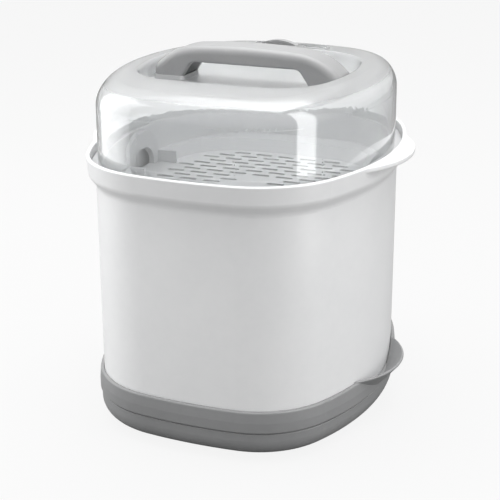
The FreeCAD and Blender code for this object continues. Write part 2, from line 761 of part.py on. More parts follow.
def upper_tray():
    """The slotted tray: floor, low wall, ledge, high wall and flange, with two finger hoops."""
    part = new_body("upper_tray_blank")
    floor_inset = "upper_low_wall_run"
    collar_top = "collar_low_inset - upper_high_wall_run"
    bead_outside = "lid_inset - lid_skirt_swell + lid_wall + locating_bead_gap"
    bead_top = f"{FLANGE_TOP} + locating_bead_height"
    above = f"{bead_top} + overcut"
    plan_loft(part, "tray_bowl", "bowl",
              [(f"{floor_inset} - upper_wall", FLOOR_BOTTOM), ("0 - upper_wall", LEDGE_BOTTOM)])
    plan_loft(part, "tray_collar", "body",
              [("collar_low_inset - upper_wall", LEDGE_BOTTOM), (f"{collar_top} - upper_wall", RIM_SEAT)])
    plan_pad(part, "tray_flange", "body", f"{RIM_INSIDE} + upper_gap", RIM_SEAT, FLANGE_TOP)
    plan_pad(part, "locating_bead", "body", bead_outside, FLANGE_TOP, bead_top)
    plan_loft(part, "bowl_inside", "bowl", [(floor_inset, FLOOR_TOP), ("0", LEDGE_TOP)], cut=True)
    plan_loft(part, "collar_inside", "body",
              [("collar_low_inset", LEDGE_TOP), (f"{bead_outside} + locating_bead_width", above)], cut=True)
    root = f"{HOOP_INSIDE} - upper_low_wall_run - hoop_band"
    sketch = sketch_on(part, "alcove_block_outline", FLOOR_BOTTOM)
    draw_rectangle(sketch, root, HOOP_OUTSIDE, "0 - hoop_half", "hoop_half")
    block = grow(part, "Pad", "alcove_block", sketch, f"({LEDGE_TOP}) - ({FLOOR_BOTTOM})")
    mirrored(part, block)
    hoop_top = f"{FLANGE_TOP} + hoop_rise"
    sketch = sketch_on(part, "hoop_outline", HOOP_INSIDE, "YZ_Plane")
    draw_arch(sketch, "hoop_half", FLOOR_BOTTOM, hoop_top, "hoop_round")
    hoop = grow(part, "Pad", "hoop", sketch, "hoop_thick")
    mirrored(part, hoop)
    sketch = sketch_on(part, "alcove_outline", above)
    draw_rectangle(sketch, root, HOOP_INSIDE, "0 - hoop_half + upper_wall", "hoop_half - upper_wall")
    alcove = grow(part, "Pocket", "alcove", sketch, f"({above}) - ({FLOOR_TOP})")
    mirrored(part, alcove)
    sketch = sketch_on(part, "hoop_opening_outline", f"{HOOP_INSIDE} - overcut", "YZ_Plane")
    draw_arch(sketch, "hoop_half - hoop_band", FLOOR_TOP, f"{hoop_top} - hoop_top_band",
              "hoop_round - hoop_band")
    depth = f"body_half_width - shell_wall - ({HOOP_INSIDE}) + overcut"
    opening = grow(part, "Pocket", "hoop_opening", sketch, depth, backwards=True)
    mirrored(part, opening)
    slots = slot_field("tray_slots", "bowl", "upper_low_wall_run + slot_margin",
                       ("slot_pitch_long", "slot_pitch_cross"), "slot_length", "slot_width",
                       f"{FLOOR_BOTTOM} - overcut", f"{FLOOR_TOP} + overcut", stagger=True,
                       blank="blank_radius")
    return combine("Cut", "upper_tray", part, slots)


def draw_arch(sketch, half, low, high, radius):
    """A tombstone outline: a flat foot, two upright sides and two round shoulders."""
    width = amount(half)
    bottom = amount(low)
    top = amount(high)
    turn = amount(radius)
    quarter = math.pi / 2
    sketch.addGeometry([
        Part.LineSegment(point(-width, bottom), point(width, bottom)),
        Part.LineSegment(point(width, bottom), point(width, top - turn)),
        arc((width - turn, top - turn), turn, 0, quarter),
        Part.LineSegment(point(width - turn, top), point(turn - width, top)),
        arc((turn - width, top - turn), turn, quarter, 2 * quarter),
        Part.LineSegment(point(-width, top - turn), point(-width, bottom)),
    ], False)
    sketch.addConstraint(Sketcher.Constraint("Coincident", 0, 2, 1, 1))
    sketch.addConstraint(Sketcher.Constraint("Coincident", 5, 2, 0, 1))
    for index in (1, 2, 3, 4):
        sketch.addConstraint(Sketcher.Constraint("Tangent", index, 2, index + 1, 1))
    sketch.addConstraint(Sketcher.Constraint("Vertical", 1))
    sketch.addConstraint(Sketcher.Constraint("Horizontal", 3))
    sketch.addConstraint(Sketcher.Constraint("Vertical", 5))
    hold(sketch, "DistanceX", -1, 1, 0, 1, text=f"0 - ({half})")
    hold(sketch, "DistanceY", -1, 1, 0, 1, text=low)
    hold(sketch, "DistanceX", -1, 1, 1, 1, text=half)
    hold(sketch, "DistanceY", -1, 1, 1, 1, text=low)
    hold(sketch, "Radius", 2, text=radius)
    hold(sketch, "Radius", 4, text=radius)
    hold(sketch, "DistanceY", -1, 1, 3, 1, text=high)


# ---- lid -----------------------------------------------------------------------------------------

def crown_cut(part, name, drop):
    """Turn off everything above a sphere, which leaves the lid's crowned top."""
    sketch = sketch_on(part, name + "_outline", "0", "XZ_Plane")
    top = amount(f"{LID_TOP} - ({drop})")
    radius = amount(f"lid_crown_radius - ({drop})")
    half = amount(REACH)
    roof = top + amount("lid_shoulder")
    low_angle = math.acos(half / radius)
    side = point(half, top - radius + radius * math.sin(low_angle))
    sketch.addGeometry([
        arc((0, top - radius), radius, low_angle, math.pi / 2),
        Part.LineSegment(point(0, top), point(0, roof)),
        Part.LineSegment(point(0, roof), point(half, roof)),
        Part.LineSegment(point(half, roof), side),
    ], False)
    sketch.addConstraint(Sketcher.Constraint("Coincident", 0, 2, 1, 1))
    sketch.addConstraint(Sketcher.Constraint("Coincident", 1, 2, 2, 1))
    sketch.addConstraint(Sketcher.Constraint("Coincident", 2, 2, 3, 1))
    sketch.addConstraint(Sketcher.Constraint("Coincident", 3, 2, 0, 1))
    sketch.addConstraint(Sketcher.Constraint("PointOnObject", 0, 3, -2))
    sketch.addConstraint(Sketcher.Constraint("PointOnObject", 1, 1, -2))
    sketch.addConstraint(Sketcher.Constraint("Vertical", 1))
    sketch.addConstraint(Sketcher.Constraint("Horizontal", 2))
    sketch.addConstraint(Sketcher.Constraint("Vertical", 3))
    hold(sketch, "Radius", 0, text=f"lid_crown_radius - ({drop})")
    hold(sketch, "DistanceY", -1, 1, 1, 1, text=f"{LID_TOP} - ({drop})")
    hold(sketch, "DistanceY", -1, 1, 1, 2, text=f"{LID_TOP} - ({drop}) + lid_shoulder")
    hold(sketch, "DistanceX", -1, 1, 2, 2, text=REACH)
    doc.recompute()
    before = part.Shape.Volume
    feature = part.newObject("PartDesign::Groove", name)
    feature.Profile = sketch
    feature.ReferenceAxis = (sketch, ["V_Axis"])
    feature.Angle = 360
    doc.recompute()
    if part.Shape.Volume > before - 1:
        raise RuntimeError(f"{name} cut nothing")
    return feature


def dome(name, thickness):
    """The lid's outer form, or with the wall's thickness the form of the room inside it."""
    part = new_body(name)
    blank_top = f"{LID_TOP} + lid_shoulder / 2"
    low = FLANGE_TOP if thickness == "0" else f"{FLANGE_TOP} - overcut"
    wall = f"lid_inset + {thickness}"
    plan_loft(part, name + "_wall", "body", [(f"{wall} - lid_skirt_swell", low), (wall, blank_top)])
    crown_cut(part, name + "_crown", thickness)
    half_way = amount(f"{LID_TOP} - lid_height / 2")

    def shoulder(edge):
        box = edge.BoundBox
        return box.ZMin > half_way and max(box.XLength, box.YLength) > 5 and edge.Length > 5

    round_edges(part, name + "_shoulder", f"lid_shoulder - ({thickness})", shoulder)
    lip = f"{LID_TOP} + overcut"
    floor = f"{DISH_FLOOR} - ({thickness})"
    plan_loft(part, name + "_dish", "dish",
              [(f"0 - ({thickness})", lip), (f"dish_wall_run - ({thickness})", floor)], cut=True)
    round_edges(part, name + "_dish_floor", f"dish_floor_round - ({thickness}) / 2",
                ring_edges("dish", f"dish_wall_run - ({thickness})", floor))
    mid_dish = amount(f"{LID_TOP} - dish_depth / 2")

    def dish_edge(edge):
        place = middle(edge)
        return place.z > mid_dish and inset_of(place, "dish") > -amount(thickness) - 1.2

    round_edges(part, name + "_dish_edge", f"dish_edge_round + ({thickness}) / 2", dish_edge)
    return part


def add_vent_boss(part):
    sketch = sketch_on(part, "vent_boss_outline", f"{LID_TOP} - dish_depth / 2")
    draw_stadium(sketch, "0", VENT_PLACE, "vent_boss_half", "vent_boss_width")
    grow(part, "Pad", "vent_boss", sketch, f"({VENT_BOSS_TOP}) - ({LID_TOP} - dish_depth / 2)")
    level = amount(VENT_BOSS_TOP)
    round_edges(part, "vent_boss_edge", "vent_boss_round", lambda edge: edge.BoundBox.ZMin > level - 0.02)
    sketch = sketch_on(part, "vent_recess_outline", VENT_BOSS_TOP)
    draw_stadium(sketch, "0", VENT_PLACE, VENT_RECESS_HALF, VENT_RECESS_WIDTH)
    grow(part, "Pocket", "vent_recess", sketch, "vent_recess_depth")


def lid_dome():
    """The clear lid: a thin dome with a sunk dish for the handle and a boss for the vent."""
    outside = dome("lid_outside", "0")
    add_vent_boss(outside)
    inside = dome("lid_inside", "lid_wall")
    shell = combine("Cut", "lid_shell", outside, inside)
    hole_bottom = f"{DISH_FLOOR} - lid_wall - overcut"
    holes = [cylinder(f"handle_hole_{name}", "screw_radius", "lid_wall + 2 * overcut", x, "0", hole_bottom)
             for name, x in SCREW_PLACES.items()]
    bottom = f"({VENT_FLOOR}) - dish_depth / 2"
    depth = "dish_depth / 2 + overcut"
    slots = doc.addObject("Part::Feature", "vent_slots")
    slots.Shape = Part.makeCompound([
        stadium_bar("0", VENT_PLACE, f"{VENT_REST} + vent_stem_radius + vent_gap",
                    "2 * (vent_stem_radius + vent_gap)", bottom, depth),
        *[upright_slot(f"0 - ({VENT_RECESS_HALF}) + {step} * vent_slot_pitch", bottom, depth)
          for step in (1, 2)]])
    tools = combine("MultiFuse", "lid_holes", slots, holes)
    return combine("Cut", "lid_dome", shell, tools)


def stadium_bar(x, y, half, width, low, height):
    """A round-ended bar along X, used to cut a slot."""
    radius = amount(width) / 2
    run = amount(half) - radius
    base = FreeCAD.Vector(amount(x), amount(y), amount(low))
    tall = amount(height)
    box = Part.makeBox(2 * run, 2 * radius, tall, base - FreeCAD.Vector(run, radius, 0))
    ends = [Part.makeCylinder(radius, tall, base + FreeCAD.Vector(side * run, 0, 0)) for side in (-1, 1)]
    return box.fuse(ends).removeSplitter()


def upright_slot(x, low, height):
    """A round-ended bar along Y at the vent, used to cut one steam slot."""
    bar = stadium_bar("0", "0", "vent_slot_length / 2", "vent_slot_width", low, height)
    bar.rotate(FreeCAD.Vector(0, 0, 0), FreeCAD.Vector(0, 0, 1), 90)
    bar.translate(FreeCAD.Vector(amount(x), amount(VENT_PLACE), 0))
    return bar


# ---- handle --------------------------------------------------------------------------------------

SCREW_PLACES = {"left": f"0 - ({SCREW_PLACE})", "right": SCREW_PLACE}


def grip_outline(sketch):
    """Side view of the handle, with a crowned top between its two shoulders."""
    bottom = HANDLE_BOTTOM
    left = [(f"0 - ({FOOT_INNER})", bottom), ("0 - grip_opening_half", f"{bottom} + grip_under")]
    right = [("grip_opening_half", f"{bottom} + grip_under"), (FOOT_INNER, bottom), (FOOT_END, bottom),
             (FOOT_END, f"{bottom} + foot_toe"), ("grip_half", f"{bottom} + grip_shoulder")]
    end = [("0 - grip_half", f"{bottom} + grip_shoulder"), (f"0 - ({FOOT_END})", f"{bottom} + foot_toe"),
           (f"0 - ({FOOT_END})", bottom)]
    corners = left + right + end
    places = [point(amount(x), amount(y)) for x, y in corners]
    crown = point(0, amount(f"{bottom} + grip_shoulder + grip_crown"))
    count = len(places)
    top = len(left) + len(right) - 1
    for index in range(count):
        start = places[index]
        stop = places[(index + 1) % count]
        side = Part.Arc(start, crown, stop) if index == top else Part.LineSegment(start, stop)
        sketch.addGeometry(side, False)
    for index, (x, y) in enumerate(corners):
        sketch.addConstraint(Sketcher.Constraint("Coincident", index, 2, (index + 1) % count, 1))
        hold(sketch, "DistanceX", -1, 1, index, 1, text=x)
        hold(sketch, "DistanceY", -1, 1, index, 1, text=y)
    hold(sketch, "Radius", top, text="(grip_half ^ 2 + grip_crown ^ 2) / (2 * grip_crown)")


def across(places):
    """A test for edges that run along Y past one of the given points of the side view."""
    spots = [(amount(x), amount(z)) for x, z in places]

    def wanted(edge):
        box = edge.BoundBox
        if box.XLength > 0.05 or box.ZLength > 0.05:
            return False
        return any(math.hypot(abs(box.XMin) - x, box.ZMin - z) < 0.3 for x, z in spots)

    return wanted


def handle_blank(name, width):
    part = new_body(name)
    sketch = sketch_on(part, name + "_outline", "0", "XZ_Plane")
    grip_outline(sketch)
    grow(part, "Pad", name + "_bar", sketch, width, both_ways=True)
    shoulder = ("grip_half", f"{HANDLE_BOTTOM} + grip_shoulder")
    toe = (FOOT_END, f"{HANDLE_BOTTOM} + foot_toe")
    armpit = ("grip_opening_half", f"{HANDLE_BOTTOM} + grip_under")
    round_edges(part, name + "_shoulders", "shoulder_round", across([shoulder]))
    round_edges(part, name + "_toes", "toe_round", across([toe]))
    round_edges(part, name + "_armpits", "armpit_round", across([armpit]))
    return part


def lower_band(name, width):
    """The strip that follows the handle's underside, as thick as the liner."""
    band = new_body(name)
    sketch = sketch_on(band, name + "_outline", "0", "XZ_Plane")
    bottom = HANDLE_BOTTOM
    inner = [(f"0 - ({FOOT_INNER})", bottom), ("0 - grip_opening_half", f"{bottom} + grip_under"),
             ("grip_opening_half", f"{bottom} + grip_under"), (FOOT_INNER, bottom)]
    outer = [(f"{FOOT_INNER} + liner_thick", bottom),
             ("grip_opening_half + liner_thick", f"{bottom} + grip_under + liner_thick"),
             ("0 - grip_opening_half - liner_thick", f"{bottom} + grip_under + liner_thick"),
             (f"0 - ({FOOT_INNER}) - liner_thick", bottom)]
    draw_polygon(sketch, inner + outer)
    grow(band, "Pad", name + "_bar", sketch, width, both_ways=True)
    round_edges(band, name + "_armpits", "armpit_round",
                across([("grip_opening_half", f"{bottom} + grip_under")]))
    round_edges(band, name + "_outer_bends", "armpit_round + liner_thick",
                across([("grip_opening_half + liner_thick", f"{bottom} + grip_under + liner_thick")]))
    return band


def handle_shell():
    """The grip: rounded along its top edges, channelled underneath for the liner."""
    part = handle_blank("handle_blank", "handle_width")
    side = amount("handle_width") / 2
    bottom = amount(HANDLE_BOTTOM)

    def long_edge(edge):
        box = edge.BoundBox
        return box.YLength < 0.05 and abs(abs(box.YMin) - side) < 0.05 and box.ZMax > bottom + 0.1

    def under_side(place):
        within = abs(place.x) < amount(f"{FOOT_INNER} + overcut")
        return within and place.z < amount(f"{HANDLE_BOTTOM} + grip_under + overcut")

    round_edges(part, "grip_top_edges", "handle_edge_round",
                lambda edge: long_edge(edge) and not under_side(middle(edge)))
    round_edges(part, "grip_under_edges", "handle_under_round",
                lambda edge: long_edge(edge) and under_side(middle(edge)))
    channel = lower_band("liner_channel", "liner_width")
    blank = combine("Cut", "handle_channelled", part, channel)
    depth = "screw_length - lid_wall - pad_thick"
    bores = [cylinder(f"handle_bore_{name}", "screw_radius", depth, x, "0", HANDLE_BOTTOM)
             for name, x in SCREW_PLACES.items()]
    pair = combine("MultiFuse", "handle_bores", bores[0], bores[1:])
    return combine("Cut", "handle_shell", blank, pair)


def handle_liner():
    """The cover along the grip's underside, set into the shell's channel."""
    return lower_band("handle_liner", "liner_width")


def handle_pad(side, x):
    """A clear pad between one handle foot and the dish."""
    part = new_body(f"handle_pad_{side}_blank")
    sketch = sketch_on(part, f"handle_pad_{side}_outline", DISH_FLOOR)
    sign = "0 - " if side == "left" else ""
    near = f"{sign}({FOOT_INNER} - pad_margin)"
    far = f"{sign}({FOOT_END} + pad_end_margin)"
    left, right = (far, near) if side == "left" else (near, far)
    draw_rectangle(sketch, left, right, "0 - handle_width / 2 - pad_margin", "handle_width / 2 + pad_margin")
    grow(part, "Pad", f"handle_pad_{side}_block", sketch, "pad_thick")
    round_edges(part, f"handle_pad_{side}_corners", "pad_corner_round",
                lambda edge: edge.BoundBox.ZLength > 1 and edge.BoundBox.XLength < 0.01)
    hole = cylinder(f"pad_hole_{side}", "screw_radius", "pad_thick + 2 * overcut", x, "0",
                    f"{DISH_FLOOR} - overcut")
    return combine("Cut", f"handle_pad_{side}", part, hole)


def handle_screws():
    """One screw up into each foot of the handle, its head under the dish."""
    pieces = []
    for name, x in SCREW_PLACES.items():
        under = f"{DISH_FLOOR} - lid_wall"
        head = cylinder(f"screw_head_{name}", "screw_head_radius", "screw_head_height", x, "0",
                        f"{under} - screw_head_height")
        shank = cylinder(f"screw_shank_{name}", "screw_radius", "screw_length", x, "0", under)
        pieces.append(combine("MultiFuse", f"screw_{name}", head, [shank]))
    group = doc.addObject("Part::Compound", "handle_screw_group")
    group.Links = pieces
    group.Label = "handle_screws"
    return group


# ---- vent ----------------------------------------------------------------------------------------

def vent_shutter():
    """The sliding plate in the vent's recess, with the stem that goes through the lid."""
    part = new_body("vent_shutter")
    sketch = sketch_on(part, "vent_plate_outline", VENT_FLOOR)
    draw_stadium(sketch, f"0 - {VENT_REST}", VENT_PLACE, VENT_PLATE_HALF,
                 f"{VENT_RECESS_WIDTH} - 2 * vent_gap")
    grow(part, "Pad", "vent_plate", sketch, "vent_plate_thick")
    sketch = sketch_on(part, "vent_stem_outline", VENT_RETAINER_TOP)
    draw_circle(sketch, f"0 - {VENT_REST}", VENT_PLACE, "vent_stem_radius")
    grow(part, "Pad", "vent_stem", sketch, f"({VENT_FLOOR}) - ({VENT_RETAINER_TOP})")
    sketch = sketch_on(part, "vent_stem_bore_outline", VENT_RETAINER_TOP)
    draw_circle(sketch, f"0 - {VENT_REST}", VENT_PLACE, "vent_screw_radius")
    grow(part, "Pocket", "vent_stem_bore", sketch, "vent_retainer_thick * 1.5", backwards=True)
    return part


def vent_tab():
    """The half-moon thumb tab that stands on the shutter."""
    part = new_body("vent_tab")
    back = f"{VENT_PLACE} - vent_tab_thick / 2"
    radius = "(vent_tab_half ^ 2 + vent_tab_height ^ 2) / (2 * vent_tab_height)"
    sketch = sketch_on(part, "vent_tab_outline", f"0 - ({back}) - vent_tab_thick", "XZ_Plane")
    plate_top = f"{VENT_FLOOR} + vent_plate_thick"
    middle_x = f"0 - {VENT_REST} - vent_tab_shift"
    left = point(amount(f"{middle_x} - vent_tab_half"), amount(plate_top))
    right = point(amount(f"{middle_x} + vent_tab_half"), amount(plate_top))
    top = point(amount(middle_x), amount(f"{plate_top} + vent_tab_height"))
    sketch.addGeometry([Part.Arc(right, top, left), Part.LineSegment(left, right)], False)
    sketch.addConstraint(Sketcher.Constraint("Coincident", 0, 2, 1, 1))
    sketch.addConstraint(Sketcher.Constraint("Coincident", 1, 2, 0, 1))
    hold(sketch, "DistanceX", -1, 1, 1, 1, text=f"{middle_x} - vent_tab_half")
    hold(sketch, "DistanceX", -1, 1, 1, 2, text=f"{middle_x} + vent_tab_half")
    hold(sketch, "DistanceY", -1, 1, 1, 1, text=plate_top)
    hold(sketch, "DistanceY", -1, 1, 1, 2, text=plate_top)
    hold(sketch, "Radius", 0, text=radius)
    grow(part, "Pad", "vent_tab_block", sketch, "vent_tab_thick")
    return part


def vent_retainer():
    """The disc under the lid that keeps the shutter in its recess."""
    disc = cylinder("retainer_disc", "vent_retainer_radius", "vent_retainer_thick", f"0 - {VENT_REST}",
                    VENT_PLACE, f"{VENT_RETAINER_TOP} - vent_retainer_thick")
    hole = cylinder("retainer_hole", "vent_screw_radius", "vent_retainer_thick + 2 * overcut",
                    f"0 - {VENT_REST}",
                    VENT_PLACE, f"{VENT_RETAINER_TOP} - vent_retainer_thick - overcut")
    return combine("Cut", "vent_retainer", disc, hole)


def vent_screw():
    under = f"{VENT_RETAINER_TOP} - vent_retainer_thick"
    shank = cylinder("vent_screw_shank", "vent_screw_radius", "vent_retainer_thick * 2.4",
                     f"0 - {VENT_REST}",
                     VENT_PLACE, under)
    head = cylinder("vent_screw_head", "vent_screw_radius * 2", "vent_screw_radius", f"0 - {VENT_REST}",
                    VENT_PLACE, f"{under} - vent_screw_radius")
    return combine("MultiFuse", "vent_screw", shank, [head])


# ---- the whole -----------------------------------------------------------------------------------

def build():
    tray = base_tray()
    foot_sockets(tray)
    pieces = [tray]
    pieces += [foot(name) for name in FOOT_PLACES]
    pieces += [case_shell(), drain_plate()]
    pieces += [bottle_post(name) for name in POST_PLACES]
    pieces += [upper_tray(), lid_dome(), handle_shell(), handle_liner()]
    pieces += [handle_pad(side, x) for side, x in SCREW_PLACES.items()]
    pieces += [handle_screws(), vent_shutter(), vent_tab(), vent_retainer(), vent_screw()]
    doc.recompute()
    for thing in doc.Objects:
        if "Invalid" in thing.State or "Error" in thing.State:
            raise RuntimeError(f"{thing.Label} failed: {thing.State}")
    for piece in pieces:
        if piece.Shape.isNull() or not piece.Shape.isValid():
            raise RuntimeError(f"{piece.Label} has no valid shape")
    return pieces


os.makedirs("parts", exist_ok=True)
for finished in build():
    finished.Shape.exportStep(f"parts/{finished.Label}.step")
    print(finished.Label, len(finished.Shape.Solids), round(finished.Shape.Volume))
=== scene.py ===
import math

import bpy
from mathutils import Matrix, Vector


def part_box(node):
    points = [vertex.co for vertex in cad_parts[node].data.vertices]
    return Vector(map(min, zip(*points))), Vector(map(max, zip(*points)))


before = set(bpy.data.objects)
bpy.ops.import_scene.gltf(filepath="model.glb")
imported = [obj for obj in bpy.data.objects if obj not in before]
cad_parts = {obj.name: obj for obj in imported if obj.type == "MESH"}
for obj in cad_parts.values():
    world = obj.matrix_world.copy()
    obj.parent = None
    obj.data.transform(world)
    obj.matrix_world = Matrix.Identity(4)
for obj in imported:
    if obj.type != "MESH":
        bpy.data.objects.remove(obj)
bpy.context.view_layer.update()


# ---- shader groups shared by the finishes -------------------------------------------------------

def new_group(name, inputs, outputs):
    """An empty shader node group with named sockets."""
    group = bpy.data.node_groups.new(name, "ShaderNodeTree")
    for socket, kind, value in inputs:
        item = group.interface.new_socket(socket, in_out="INPUT", socket_type=kind)
        item.default_value = value
    for socket, kind in outputs:
        group.interface.new_socket(socket, in_out="OUTPUT", socket_type=kind)
    start = group.nodes.new("NodeGroupInput")
    end = group.nodes.new("NodeGroupOutput")
    return group, start, end


def add(tree, kind, **settings):
    node = tree.nodes.new(kind)
    for key, value in settings.items():
        if key in node.inputs:
            node.inputs[key].default_value = value
        else:
            setattr(node, key, value)
    return node


def math_node(tree, operation, first, second):
    node = tree.nodes.new("ShaderNodeMath")
    node.operation = operation
    for socket, value in zip(node.inputs, (first, second)):
        if isinstance(value, (int, float)):
            socket.default_value = value
        else:
            tree.links.new(value, socket)
    return node.outputs[0]


def ramp(tree, value, start, end, low=0.0, high=1.0, smooth=False):
    """value carried from start..end to low..high, and held there outside."""
    node = add(tree, "ShaderNodeMapRange", interpolation_type="SMOOTHSTEP" if smooth else "LINEAR")
    for socket, number in (("From Min", start), ("From Max", end), ("To Min", low), ("To Max", high)):
        node.inputs[socket].default_value = number
    tree.links.new(value, node.inputs["Value"])
    return node.outputs["Result"]


def build_moulded_grain():
    """Fine moulding grain: a height for bump, a slow drift and a faint fleck, all about 0 to 1."""
    group, start, end = new_group(
        "moulded_grain",
        [("Grain Scale", "NodeSocketFloat", 900.0), ("Drift Scale", "NodeSocketFloat", 14.0)],
        [("Height", "NodeSocketFloat"), ("Drift", "NodeSocketFloat"), ("Fleck", "NodeSocketFloat")])
    place = add(group, "ShaderNodeTexCoord")
    grain = add(group, "ShaderNodeTexNoise", Detail=3.0, Roughness=0.6)
    pits = add(group, "ShaderNodeTexVoronoi", feature="SMOOTH_F1", Smoothness=0.6)
    drift = add(group, "ShaderNodeTexNoise", Detail=2.0, Roughness=0.5)
    fleck = add(group, "ShaderNodeTexNoise", Detail=4.0, Roughness=0.7)
    link = group.links.new
    for node in (grain, pits, drift, fleck):
        link(place.outputs["Object"], node.inputs["Vector"])
    link(start.outputs["Grain Scale"], grain.inputs["Scale"])
    link(math_node(group, "MULTIPLY", start.outputs["Grain Scale"], 1.7), pits.inputs["Scale"])
    link(start.outputs["Drift Scale"], drift.inputs["Scale"])
    link(math_node(group, "MULTIPLY", start.outputs["Drift Scale"], 9.0), fleck.inputs["Scale"])
    soft_pits = math_node(group, "MULTIPLY", pits.outputs["Distance"], 0.5)
    link(math_node(group, "ADD", math_node(group, "MULTIPLY", grain.outputs["Fac"], 0.6), soft_pits),
         end.inputs["Height"])
    link(drift.outputs["Fac"], end.inputs["Drift"])
    link(fleck.outputs["Fac"], end.inputs["Fleck"])
    return group


def build_edge_rub_and_highlight():
    """A mask of every edge, convex and hollow, broken up so that it isn't even: partly wear where hands and
    the table scuff, partly a painted highlight along the edges.
    """
    group, start, end = new_group(
        "edge_rub_and_highlight",
        [("Width", "NodeSocketFloat", 0.0012), ("Amount", "NodeSocketFloat", 1.0)],
        [("Mask", "NodeSocketFloat")])
    link = group.links.new
    # the mask follows every edge, hollow ones too, whatever the light: wear plus a painted edge highlight
    bevel = add(group, "ShaderNodeBevel", samples=4)
    link(start.outputs["Width"], bevel.inputs["Radius"])
    surface = add(group, "ShaderNodeNewGeometry")
    facing = add(group, "ShaderNodeVectorMath", operation="DOT_PRODUCT")
    link(bevel.outputs["Normal"], facing.inputs[0])
    link(surface.outputs["Normal"], facing.inputs[1])
    turned = math_node(group, "SUBTRACT", 1.0, facing.outputs["Value"])
    steep = ramp(group, turned, 0.015, 0.25)
    place = add(group, "ShaderNodeTexCoord")
    patches = add(group, "ShaderNodeTexNoise", Scale=120.0, Detail=3.0, Roughness=0.65)
    link(place.outputs["Object"], patches.inputs["Vector"])
    both = math_node(group, "MULTIPLY", steep, ramp(group, patches.outputs["Fac"], 0.38, 0.62))
    link(math_node(group, "MULTIPLY", both, start.outputs["Amount"]), end.inputs["Mask"])
    return group


def build_settled_dust():
    """A faint film that settles on faces that look up."""
    group, start, end = new_group(
        "settled_dust", [("Amount", "NodeSocketFloat", 0.1)], [("Mask", "NodeSocketFloat")])
    link = group.links.new
    surface = add(group, "ShaderNodeNewGeometry")
    parts = add(group, "ShaderNodeSeparateXYZ")
    link(surface.outputs["Normal"], parts.inputs[0])
    place = add(group, "ShaderNodeTexCoord")
    cloud = add(group, "ShaderNodeTexNoise", Scale=60.0, Detail=5.0, Roughness=0.7)
    link(place.outputs["Object"], cloud.inputs["Vector"])
    film = math_node(group, "MULTIPLY", ramp(group, parts.outputs["Z"], 0.6, 1.0), cloud.outputs["Fac"])
    link(math_node(group, "MULTIPLY", film, start.outputs["Amount"]), end.inputs["Mask"])
    return group


GRAIN = build_moulded_grain()
RUB_AND_HIGHLIGHT = build_edge_rub_and_highlight()
DUST = build_settled_dust()


# ---- finishes -----------------------------------------------------------------------------------

DUST_TONE = (0.62, 0.61, 0.60)
CROWN_SHADE_TONE = (0.80, 0.80, 0.80, 1.0)        # painted shade: multiplies a clear piece's tint, greying it where its crown is satin
LID_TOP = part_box("lid_dome")[1][2]
CROWN_RISE = (LID_TOP - 0.009, LID_TOP - 0.0035)    # heights where the crown's haze and painted shade start and are full
NO_RISE = (1.0, 2.0)                        # heights that no piece reaches, for a piece without a crown
DISH_REACH = (0.088, 0.078)                 # distances from the middle where the dish's haze does


def plastic(name, dark, light, worn_and_lit, rough, grain_scale=900.0, bump=0.12, rub_and_highlight=0.5, rub_and_highlight_width=0.0012,
            dust=0.0):
    """A moulded plastic or rubber: two close tones, grain, lighter edges that are partly wear and partly a
    painted highlight, and a little dust.
    """
    material = bpy.data.materials.new(name)
    material.use_nodes = True
    tree = material.node_tree
    link = tree.links.new
    shader = tree.nodes["Principled BSDF"]
    grain = add(tree, "ShaderNodeGroup", node_tree=GRAIN)
    grain.inputs["Grain Scale"].default_value = grain_scale
    edges = add(tree, "ShaderNodeGroup", node_tree=RUB_AND_HIGHLIGHT)
    edges.inputs["Width"].default_value = rub_and_highlight_width
    edges.inputs["Amount"].default_value = rub_and_highlight
    film = add(tree, "ShaderNodeGroup", node_tree=DUST)
    film.inputs["Amount"].default_value = dust

    def mix(factor, first, second):
        node = add(tree, "ShaderNodeMix", data_type="RGBA")
        link(factor, node.inputs[0])
        for socket, value in ((node.inputs[6], first), (node.inputs[7], second)):
            if isinstance(value, tuple):
                socket.default_value = (*value, 1.0)
            else:
                link(value, socket)
        return node.outputs[2]

    speck = math_node(tree, "MULTIPLY", grain.outputs["Fleck"], 0.35)
    mottle = math_node(tree, "ADD", math_node(tree, "MULTIPLY", grain.outputs["Drift"], 0.65), speck)
    body = mix(ramp(tree, mottle, 0.35, 0.65), dark, light)
    # edges lightened: partly scuffed wear, partly a painted edge highlight
    rubbed_and_lit = mix(edges.outputs["Mask"], body, worn_and_lit)
    link(mix(film.outputs["Mask"], rubbed_and_lit, DUST_TONE), shader.inputs["Base Color"])
    sheen = ramp(tree, grain.outputs["Fleck"], 0.0, 1.0, rough - 0.05, rough + 0.07)
    smoother = math_node(tree, "MULTIPLY", edges.outputs["Mask"], -0.12)
    link(math_node(tree, "ADD", sheen, smoother), shader.inputs["Roughness"])
    relief = add(tree, "ShaderNodeBump", Strength=bump, Distance=0.00006)
    link(grain.outputs["Height"], relief.inputs["Height"])
    link(relief.outputs["Normal"], shader.inputs["Normal"])
    return material


